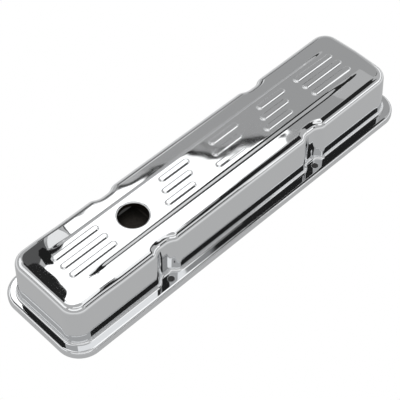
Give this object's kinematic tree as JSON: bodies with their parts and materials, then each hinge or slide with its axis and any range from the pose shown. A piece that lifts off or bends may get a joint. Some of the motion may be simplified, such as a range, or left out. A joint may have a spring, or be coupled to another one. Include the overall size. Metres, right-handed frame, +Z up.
{
  "type": "engine valve cover",
  "caption": "Long pressed-steel valve cover with a raised ribbed panel, a breather hole and a turned-down gasket flange with bolt holes.",
  "frame": {"origin": "middle of the cover's footprint, at the bottom edge of the flange lip", "axes": "+X along the cover, away from the breather hole; +Y across it; +Z up, away from the cylinder head"},
  "size_m": [0.47, 0.122, 0.0645],
  "materials": {
    "chrome": "mirror-bright chrome plate",
    "bare_steel": "dull phosphate-coated sheet"
  },
  "bodies": {
    "root": {"cover_shell": "chrome", "oil_baffle": "bare_steel"}
  },
  "joints": []
}
